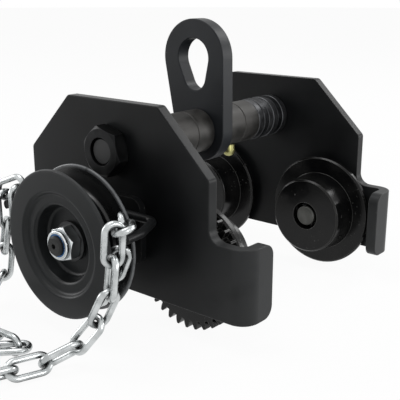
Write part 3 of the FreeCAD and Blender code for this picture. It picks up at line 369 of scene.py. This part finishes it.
WHEELS = ("geared_wheel_left", "geared_wheel_right", "plain_wheel_left", "plain_wheel_right")
wheel_finish = {wheel: wheel_gloss(wheel + "_gloss", middle(wheel)) for wheel in WHEELS}
print("wheel finishes:", len(wheel_finish))

# %% [markdown]
# ## The pressed hand wheel
# Two steel discs are pressed to a dished shape. The front one has a flatter, greyer black than the
# plates and the back one is glossier. Pressing stretches the coat over the bends, so the sheen
# changes from ring to ring. The chain rubs the coat off the outermost edge, and the grey there is
# also a painted highlight on the rim, so a mask on the distance from the axle, which reaches 1
# near the full radius, turns the rim grey.

# %% Hand wheel
LIP_GREY = tone(0.12, 0.125, 0.13)
RIM_START = 0.0028
RIM_END = 0.0008
RIM_GRAIN = 0.006
RIM_COVER = (0.15, 0.5)
DISC_PEEL_GRAIN = 0.0013
DISC_PEEL_STRENGTH = 0.15
DISC_PEEL_DEPTH = 0.0002
DISC_HAZE_GRAIN = 0.03
DISC_HAZE_SHARE = 0.6
DISC_RING_PITCH = 0.006
DISC_RING_SHARE = 0.4
DISC_HAZE_ROUGHNESS = 0.1
DISC_RUB_WIDTH = 0.0012
DISC_RUB_GAIN = 5.0
DISC_RUB_GRAIN = 0.012
DISC_RUB_COVER = (0.2, 0.55)
DISC_RUB_AMOUNT = 0.12
DISC_RUB_POLISH = 0.1
DISC_ROUNDING = 0.0005


def pressed_coat(name, disc, dark, light, roughness, shine, rim_wear_and_highlight):
    """Coat on pressed steel whose sheen changes with the distance from the axle, grey at the rim from
    wear and painted highlight.
    """
    material, place = start_finish(name)
    centre = middle(disc)
    low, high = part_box(disc)
    full = (high.x - low.x) / 2
    radius = axle_distance(from_centre(place, centre))
    rim_patches = ramp(cloud(place, RIM_GRAIN), *RIM_COVER)
    # The rim's grey band is partly worn coat and partly a painted highlight.
    rim = ramp(radius, full - RIM_START, full - RIM_END) * rim_patches
    peel = cloud(place, DISC_PEEL_GRAIN)
    clouds = cloud(place, DISC_HAZE_GRAIN, detail=3.0) * DISC_HAZE_SHARE
    rings = lathe_rings(place, centre, DISC_RING_PITCH) * DISC_RING_SHARE
    haze = ramp(clouds + rings, *HALF_COVERED)
    paler_edge_patches = ramp(cloud(place, DISC_RUB_GRAIN), *DISC_RUB_COVER)
    paler_edges = edges(place, DISC_RUB_WIDTH, DISC_RUB_GAIN) * paler_edge_patches
    colour = blend(haze, dark, light)
    colour = blend(paler_edges * DISC_RUB_AMOUNT, colour, LIP_GREY)
    colour = blend(rim * rim_wear_and_highlight, colour, LIP_GREY)
    edge = rounded(place, DISC_ROUNDING)
    return seal(material, place, {
        "Base Color": colour,
        "Roughness": roughness + haze * DISC_HAZE_ROUGHNESS - paler_edges * DISC_RUB_POLISH,
        "Specular IOR Level": shine,
        "Normal": bumped(place, peel, DISC_PEEL_STRENGTH, DISC_PEEL_DEPTH, edge),
    })


front_disc_coat = pressed_coat(
    "front_disc_coat", "hand_wheel_front_disc", tone(0.0055, 0.0063, 0.0068), tone(0.011, 0.0124, 0.0131),
    roughness=0.34, shine=0.24, rim_wear_and_highlight=0.14)
back_disc_coat = pressed_coat(
    "back_disc_coat", "hand_wheel_back_disc", tone(0.004, 0.0042, 0.0045), tone(0.009, 0.0093, 0.0097),
    roughness=0.22, shine=0.45, rim_wear_and_highlight=1.0)
print("hand wheel finishes:", front_disc_coat.name, back_disc_coat.name)

# %% [markdown]
# ## Turned steel
# Axle ends, shafts, sleeves, bearing races and rings are bare or thinly oxidised steel. They share
# one recipe, rings from the lathe under a patchy film, and differ in colour, polish and how
# metallic they look: a film of brown oxide hides part of the metal on the distance sleeves.

# %% Turned steel
STEEL_RING_PITCH = 0.0005
STEEL_RING_STRENGTH = 0.16
STEEL_RING_DEPTH = 0.0001
STEEL_RING_ROUGHNESS = 0.1
FILM_GRAIN = 0.011
FILM_COVER = (0.32, 0.68)
FILM_ROUGHNESS = 0.12
STEEL_RUB_WIDTH = 0.0006
STEEL_RUB_GAIN = 6.0
STEEL_RUB_AMOUNT = 0.4
STEEL_ROUNDING = 0.0004


def turned_steel(name, centre, dark, light, roughness, metal):
    """Lathe rings under a patchy oxide film; the film sets the colour and the rings the sparkle."""
    material, place = start_finish(name)
    rings = lathe_rings(place, centre, STEEL_RING_PITCH)
    film = ramp(cloud(place, FILM_GRAIN, detail=4.0), *FILM_COVER)
    paler_edges = edges(place, STEEL_RUB_WIDTH, STEEL_RUB_GAIN)
    colour = blend(film, dark, light)
    colour = blend(paler_edges * STEEL_RUB_AMOUNT, colour, light)
    edge = rounded(place, STEEL_ROUNDING)
    return seal(material, place, {
        "Base Color": colour,
        "Metallic": metal,
        "Roughness": roughness + film * FILM_ROUGHNESS + rings * STEEL_RING_ROUGHNESS,
        "Normal": bumped(place, rings, STEEL_RING_STRENGTH, STEEL_RING_DEPTH, edge),
    })


SHAFT_MIDDLE = middle("cross_shaft")
DRIVE_MIDDLE = middle("drive_shaft")
sleeve_oxide = turned_steel(
    "sleeve_oxide", SHAFT_MIDDLE, tone(0.021, 0.0201, 0.0186), tone(0.043, 0.0414, 0.039),
    roughness=0.4, metal=0.5)
shaft_steel = turned_steel(
    "shaft_steel", SHAFT_MIDDLE, tone(0.007, 0.0074, 0.0076), tone(0.016, 0.0165, 0.017),
    roughness=0.32, metal=0.25)
drive_steel = turned_steel(
    "drive_steel", DRIVE_MIDDLE, tone(0.008, 0.0083, 0.0083), tone(0.02, 0.0204, 0.02),
    roughness=0.38, metal=0.4)
pinion_steel = turned_steel(
    "pinion_steel", DRIVE_MIDDLE, tone(0.03, 0.03, 0.031), tone(0.08, 0.08, 0.081),
    roughness=0.36, metal=0.7)
hub_black = turned_steel(
    "hub_black", DRIVE_MIDDLE, tone(0.010, 0.0105, 0.011), tone(0.022, 0.023, 0.024),
    roughness=0.28, metal=0.2)
nut_black = turned_steel(
    "nut_black", SHAFT_MIDDLE, tone(0.005, 0.0053, 0.0056), tone(0.012, 0.0125, 0.013),
    roughness=0.28, metal=0.8)
bush_bronze = turned_steel(
    "bush_bronze", DRIVE_MIDDLE, tone(0.35, 0.2, 0.08), tone(0.5, 0.31, 0.14),
    roughness=0.36, metal=0.95)
ring_steel = turned_steel(
    "ring_steel", DRIVE_MIDDLE, tone(0.05, 0.052, 0.056), tone(0.11, 0.113, 0.12),
    roughness=0.32, metal=0.85)
AXLE_DARK = tone(0.05, 0.051, 0.047)
AXLE_LIGHT = tone(0.1, 0.101, 0.094)
axle_finish = {
    wheel: turned_steel(
        wheel + "_axle_steel", middle(wheel), AXLE_DARK, AXLE_LIGHT, roughness=0.42, metal=0.7)
    for wheel in WHEELS
}
BEARING_DARK = tone(0.42, 0.42, 0.43)
BEARING_LIGHT = tone(0.58, 0.58, 0.59)
bearing_finish = {
    wheel: turned_steel(
        wheel + "_bearing_steel", middle(wheel), BEARING_DARK, BEARING_LIGHT, roughness=0.16, metal=1.0)
    for wheel in WHEELS
}
print("turned steel finishes ready")

# %% [markdown]
# ## Zinc
# The hand chain and the lock nut are bright zinc, and the lock screw has a yellow passivation over
# its zinc. Zinc is a metal with a patchy, slightly blue skin. Where links touch, ambient occlusion
# finds little open space, and painted shade darkens the colour there.

# %% Zinc
# Painted shade: the grey that the zinc turns to where links touch and little open space is left.
CREVICE_SHADE = tone(0.035, 0.037, 0.036)
ZINC_GRAIN = 0.008
ZINC_ROUGHNESS = 0.12
DRAWING_GRAIN = 0.0009
DRAWING_STRENGTH = 0.12
DRAWING_DEPTH = 0.0001
OPEN_SPACE_SAMPLES = 6
CREVICE_SHADE_CLOSENESS = (0.1, 0.75)
CREVICE_SHADE_GRAIN = 0.005
CREVICE_SHADE_ROUGHNESS = 0.25
ZINC_ROUNDING = 0.0003


def zinc(name, dark, light, roughness, crevice):
    """Patchy zinc with fine drawing marks, with painted shade where the open space nearby is small."""
    material, place = start_finish(name)
    patches = ramp(cloud(place, ZINC_GRAIN, detail=3.0), *HALF_COVERED)
    fine = cloud(place, DRAWING_GRAIN)
    open_space = place.node(
        "ShaderNodeAmbientOcclusion", {"samples": OPEN_SPACE_SAMPLES}, {"Distance": crevice}, "AO")
    # Painted shade, in patches, where ambient occlusion finds little open space, as where links touch.
    crevice_shade_patches = ramp(cloud(place, CREVICE_SHADE_GRAIN), *MOSTLY_COVERED)
    crevice_shade = ramp(1 - open_space, *CREVICE_SHADE_CLOSENESS) * crevice_shade_patches
    colour = blend(patches, dark, light)
    colour = blend(crevice_shade, colour, CREVICE_SHADE)
    edge = rounded(place, ZINC_ROUNDING)
    return seal(material, place, {
        "Base Color": colour,
        "Metallic": 1.0,
        "Roughness": roughness + patches * ZINC_ROUGHNESS + crevice_shade * CREVICE_SHADE_ROUGHNESS,
        "Normal": bumped(place, fine, DRAWING_STRENGTH, DRAWING_DEPTH, edge),
    })


chain_zinc = zinc(
    "chain_zinc", tone(0.40, 0.418, 0.42), tone(0.60, 0.622, 0.624), roughness=0.2, crevice=0.006)
nut_zinc = zinc(
    "nut_zinc", tone(0.66, 0.69, 0.7), tone(0.8, 0.825, 0.835), roughness=0.24, crevice=0.002)
yellow_zinc = zinc(
    "yellow_zinc", tone(0.2, 0.19, 0.075), tone(0.4, 0.385, 0.17), roughness=0.3, crevice=0.003)
print("zinc finishes:", chain_zinc.name, nut_zinc.name, yellow_zinc.name)

# %% [markdown]
# ## A stack of washers
# The adjusting washers are a duller, greyer zinc. They come from different boxes, so each one has
# its own grey: white noise on the whole number of its place in the stack gives one grey per
# washer. Their edges, where one washer meets the next, are darkened with painted shade.

# %% Washers, one grey each
washer_low, washer_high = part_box("adjusting_washers")
WASHER_COUNT = 6
WASHER_DARK = tone(0.022, 0.023, 0.025)
WASHER_LIGHT = tone(0.09, 0.092, 0.097)
WASHER_SHADE_SHARE = 0.7
WASHER_PATCH_SHARE = 0.3
WASHER_PATCH_GRAIN = 0.006
WASHER_PATCH_ROUGHNESS = 0.14
WASHER_RING_PITCH = 0.0004
WASHER_RING_STRENGTH = 0.12
WASHER_RING_DEPTH = 0.0001
WASHER_EDGE_WIDTH = 0.0005
WASHER_EDGE_GAIN = 6.0
WASHER_EDGE_SHADE_AMOUNT = 0.6
WASHER_METAL = 0.85
WASHER_ROUGHNESS = 0.34
WASHER_ROUNDING = 0.0003


def washer_stack(name, centre):
    """Dull zinc whose grey steps from washer to washer, with painted shade on each washer's edges."""
    material, place = start_finish(name)
    rings = lathe_rings(place, centre, WASHER_RING_PITCH)
    along = place.node("ShaderNodeSeparateXYZ", {}, {0: place}, "Y")
    step = (along - washer_low.y) * (WASHER_COUNT / (washer_high.y - washer_low.y))
    number = place.node("ShaderNodeMath", {"operation": "FLOOR"}, {0: step})
    shade = place.node("ShaderNodeTexWhiteNoise", {"noise_dimensions": "1D"}, {"W": number})
    patches = ramp(cloud(place, WASHER_PATCH_GRAIN, detail=3.0), *HALF_COVERED)
    grey = shade * WASHER_SHADE_SHARE + patches * WASHER_PATCH_SHARE
    colour = blend(grey, WASHER_DARK, WASHER_LIGHT)
    # Painted shade: each washer's edges are darkened where it meets the next.
    painted_edge_shade = edges(place, WASHER_EDGE_WIDTH, WASHER_EDGE_GAIN) * WASHER_EDGE_SHADE_AMOUNT
    colour = blend(painted_edge_shade, colour, WASHER_DARK)
    edge = rounded(place, WASHER_ROUNDING)
    return seal(material, place, {
        "Base Color": colour,
        "Metallic": WASHER_METAL,
        "Roughness": WASHER_ROUGHNESS + patches * WASHER_PATCH_ROUGHNESS,
        "Normal": bumped(place, rings, WASHER_RING_STRENGTH, WASHER_RING_DEPTH, edge),
    })


washer_zinc = washer_stack("washer_zinc", SHAFT_MIDDLE)
print("washer stack runs", round(washer_high.y - washer_low.y, 4), "m along the shaft")

# %% [markdown]
# ## The nylon ring
# The lock nut grips the thread with a blue nylon ring, pressed into its collar. Nylon lets a
# little light in, so a small part of the shader is subsurface, with fine swirls from moulding.

# %% Nylon
NYLON_DEEP = tone(0.03, 0.16, 0.48)
NYLON_PALE = tone(0.07, 0.27, 0.66)
SWIRL_GRAIN = 0.003
SWIRL_ROUGHNESS = 0.1
NYLON_ROUGHNESS = 0.34
NYLON_BUMP_GRAIN = 0.0005
NYLON_BUMP_STRENGTH = 0.1
NYLON_BUMP_DEPTH = 0.0001
NYLON_ROUNDING = 0.0003
LIGHT_SHARE_INSIDE = 0.15
LIGHT_REACH_INSIDE = (0.0004, 0.0006, 0.001)


def moulded_nylon(name):
    """Blue nylon with faint moulding swirls and a soft shine."""
    material, place = start_finish(name)
    swirl = ramp(cloud(place, SWIRL_GRAIN), *HALF_COVERED)
    fine = cloud(place, NYLON_BUMP_GRAIN, detail=1.0)
    edge = rounded(place, NYLON_ROUNDING)
    return seal(material, place, {
        "Base Color": blend(swirl, NYLON_DEEP, NYLON_PALE),
        "Roughness": NYLON_ROUGHNESS + swirl * SWIRL_ROUGHNESS,
        "Subsurface Weight": LIGHT_SHARE_INSIDE,
        "Subsurface Radius": LIGHT_REACH_INSIDE,
        "Normal": bumped(place, fine, NYLON_BUMP_STRENGTH, NYLON_BUMP_DEPTH, edge),
    })


nylon = moulded_nylon("nylon")
print("nylon finish:", nylon.name)

# %% [markdown]
# ## Dressing the frame
# The record says which finish slot each CAD piece has. Most slots take one finish, and the
# pieces of a wheel take the finish that was made round that wheel's axle. The two discs share a
# slot, so the greyer front one is named by itself.

# %% Give each piece its finish
NODE_FINISH = {"hand_wheel_front_disc": front_disc_coat}
SLOT_FINISH = {
    "side_plate_paint": plate_coat,
    "load_plate_paint": load_coat,
    "bracket_paint": bracket_coat,
    "guide_paint": wire_coat,
    "hand_wheel_paint": back_disc_coat,
    "sleeve_steel": sleeve_oxide,
    "shaft_steel": shaft_steel,
    "drive_shaft_steel": drive_steel,
    "pinion_steel": pinion_steel,
    "ring_steel": ring_steel,
    "bush_bronze": bush_bronze,
    "hub_washer_black": hub_black,
    "nut_black": nut_black,
    "washer_zinc": washer_zinc,
    "screw_yellow_zinc": yellow_zinc,
    "lock_nut_zinc": nut_zinc,
    "insert_nylon": nylon,
    "chain_zinc": chain_zinc,
}
WHEEL_FINISH = {"wheel_paint": wheel_finish, "axle_steel": axle_finish, "bearing_steel": bearing_finish}


def finish_of(node, slot):
    """A piece's own finish, or its slot's, or for a wheel's own pieces the one made for that wheel."""
    if node in NODE_FINISH:
        return NODE_FINISH[node]
    if slot in SLOT_FINISH:
        return SLOT_FINISH[slot]
    wheel = next(name for name in WHEELS if node.startswith(name))
    return WHEEL_FINISH[slot][wheel]


for row in frame["record"]["subparts"]:
    piece = frame["nodes"][row["node"]]
    for place_in_mesh in piece.material_slots:
        place_in_mesh.material = finish_of(row["node"], row["material_slot"])

# %% [markdown]
# ## The floor
# The trolley stands on a plain white floor. A disc of rings, radius times angle, makes the floor.
# Seen by the camera or in a reflection it is mostly white, and a small share of it stays an
# ordinary matt surface, so that the shadow under the wheels is kept.

# %% Floor
FLOOR_RADIUS = 8.0
FLOOR_DROP = 0.0003
FLOOR_RINGS = 12
FLOOR_SPOKES = 48
FLOOR_WHITE = 0.94
FLOOR_GRAIN = 0.4
FLOOR_DARK = tone(0.86, 0.86, 0.86)
FLOOR_LIGHT = tone(0.9, 0.9, 0.9)
PLAIN_WHITE = tone(1.0, 1.0, 1.0)


def flat_disc(name, radius, drop, rings, spokes):
    """A flat disc: a point is radius times (cos angle, sin angle) at a fixed height under zero."""
    reaches = np.linspace(0.0, radius, rings)
    angles = np.linspace(0.0, 2 * np.pi, spokes, endpoint=False)
    reach, angle = np.meshgrid(reaches, angles, indexing="ij")
    points = np.stack([reach * np.cos(angle), reach * np.sin(angle), np.full_like(reach, -drop)], -1)
    row, column = np.meshgrid(np.arange(rings - 1), np.arange(spokes), indexing="ij")
    after = (column + 1) % spokes
    near = row * spokes
    far = (row + 1) * spokes
    quads = np.stack([near + column, far + column, far + after, near + after], -1)
    mesh = bpy.data.meshes.new(name)
    mesh.from_pydata(points.reshape(-1, 3).tolist(), [], quads.reshape(-1, 4).tolist())
    made = bpy.data.objects.new(name, mesh)
    bpy.context.scene.collection.objects.link(made)
    return made


def seen_directly(place):
    """1 for camera, glossy and transmission rays, 0 for the rays that only carry light."""
    camera_ray = place.node("ShaderNodeLightPath", {}, {}, "Is Camera Ray")
    glossy_ray = place.node("ShaderNodeLightPath", {}, {}, "Is Glossy Ray")
    through_ray = place.node("ShaderNodeLightPath", {}, {}, "Is Transmission Ray")
    return ramp(camera_ray + glossy_ray + through_ray, 0.0, 1.0)


def white_floor(name):
    """Matt white that turns mostly to plain white where it is seen."""
    material, place = start_finish(name)
    matt_colour = blend(cloud(place, FLOOR_GRAIN), FLOOR_DARK, FLOOR_LIGHT)
    matt = place.node("ShaderNodeBsdfDiffuse", {}, {"Color": matt_colour})
    white = place.node("ShaderNodeEmission", {}, {"Color": PLAIN_WHITE, "Strength": 1.0})
    share = seen_directly(place) * FLOOR_WHITE
    mixed = place.node("ShaderNodeMixShader", {}, {0: share, 1: matt, 2: white})
    place.node("ShaderNodeOutputMaterial", {}, {"Surface": mixed})
    return material


floor = flat_disc("floor", FLOOR_RADIUS, FLOOR_DROP, FLOOR_RINGS, FLOOR_SPOKES)
floor.data.materials.append(white_floor("white_floor"))
print("floor of", len(floor.data.polygons), "faces")

# %% [markdown]
# ## Lamps and sky
# One broad lamp overhead lights the top edges, a weaker one at the left shines along the plates,
# two low ones at the right draw the edges that face them, and one behind puts a bright line on
# the rims. The sky gives the rest, and is plain white where it is seen. A lamp's power grows with
# the square of its distance, so each lamp is given the level that it should reach, and the power
# is worked out from where it stands.

# %% Lamps
AIM = Vector((0.0, 0.0, 0.1))


def softbox(name, place, size, level):
    """A square lamp aimed at the trolley; power is pi squared times distance squared times level."""
    lamp = bpy.data.lights.new(name, "AREA")
    lamp.shape = "SQUARE"
    lamp.size = size
    to_lamp = Vector(place) - AIM
    lamp.energy = np.pi ** 2 * to_lamp.length_squared * level
    made = bpy.data.objects.new(name, lamp)
    made.location = place
    made.rotation_euler = to_lamp.to_track_quat("Z", "Y").to_euler()
    bpy.context.scene.collection.objects.link(made)
    return made


lamps = [
    softbox("lamp_above", (-0.3, -0.3, 1.7), size=0.8, level=0.31),
    softbox("lamp_left", (-1.7, -0.8, 0.6), size=0.75, level=0.28),
    softbox("lamp_right", (1.3, 1.3, 0.35), size=0.6, level=0.26),
    softbox("lamp_side", (1.5, -0.35, 0.45), size=0.6, level=0.26),
    softbox("lamp_back", (0.45, 1.45, 1.25), size=0.7, level=0.24),
]
print("lamps:", [lamp.name for lamp in lamps])

# %% Sky
SKY_LIGHT = 0.45
sky = bpy.data.worlds.new("sky")
sky.use_nodes = True
sky.node_tree.nodes.clear()
sky_start = Wire(sky.node_tree, sky.node_tree.nodes.new("ShaderNodeTexCoord").outputs["Object"])
sky_strength = seen_directly(sky_start) * (1 - SKY_LIGHT) + SKY_LIGHT
sky_colour = sky_start.node(
    "ShaderNodeBackground", {}, {"Color": PLAIN_WHITE, "Strength": sky_strength})
sky_start.node("ShaderNodeOutputWorld", {}, {"Surface": sky_colour})
bpy.context.scene.world = sky
bpy.context.scene.view_settings.view_transform = "Standard"
print("sky level", SKY_LIGHT)

# %% [markdown]
# ## The end
# The view layer is brought up to date.

# %% End
bpy.context.view_layer.update()
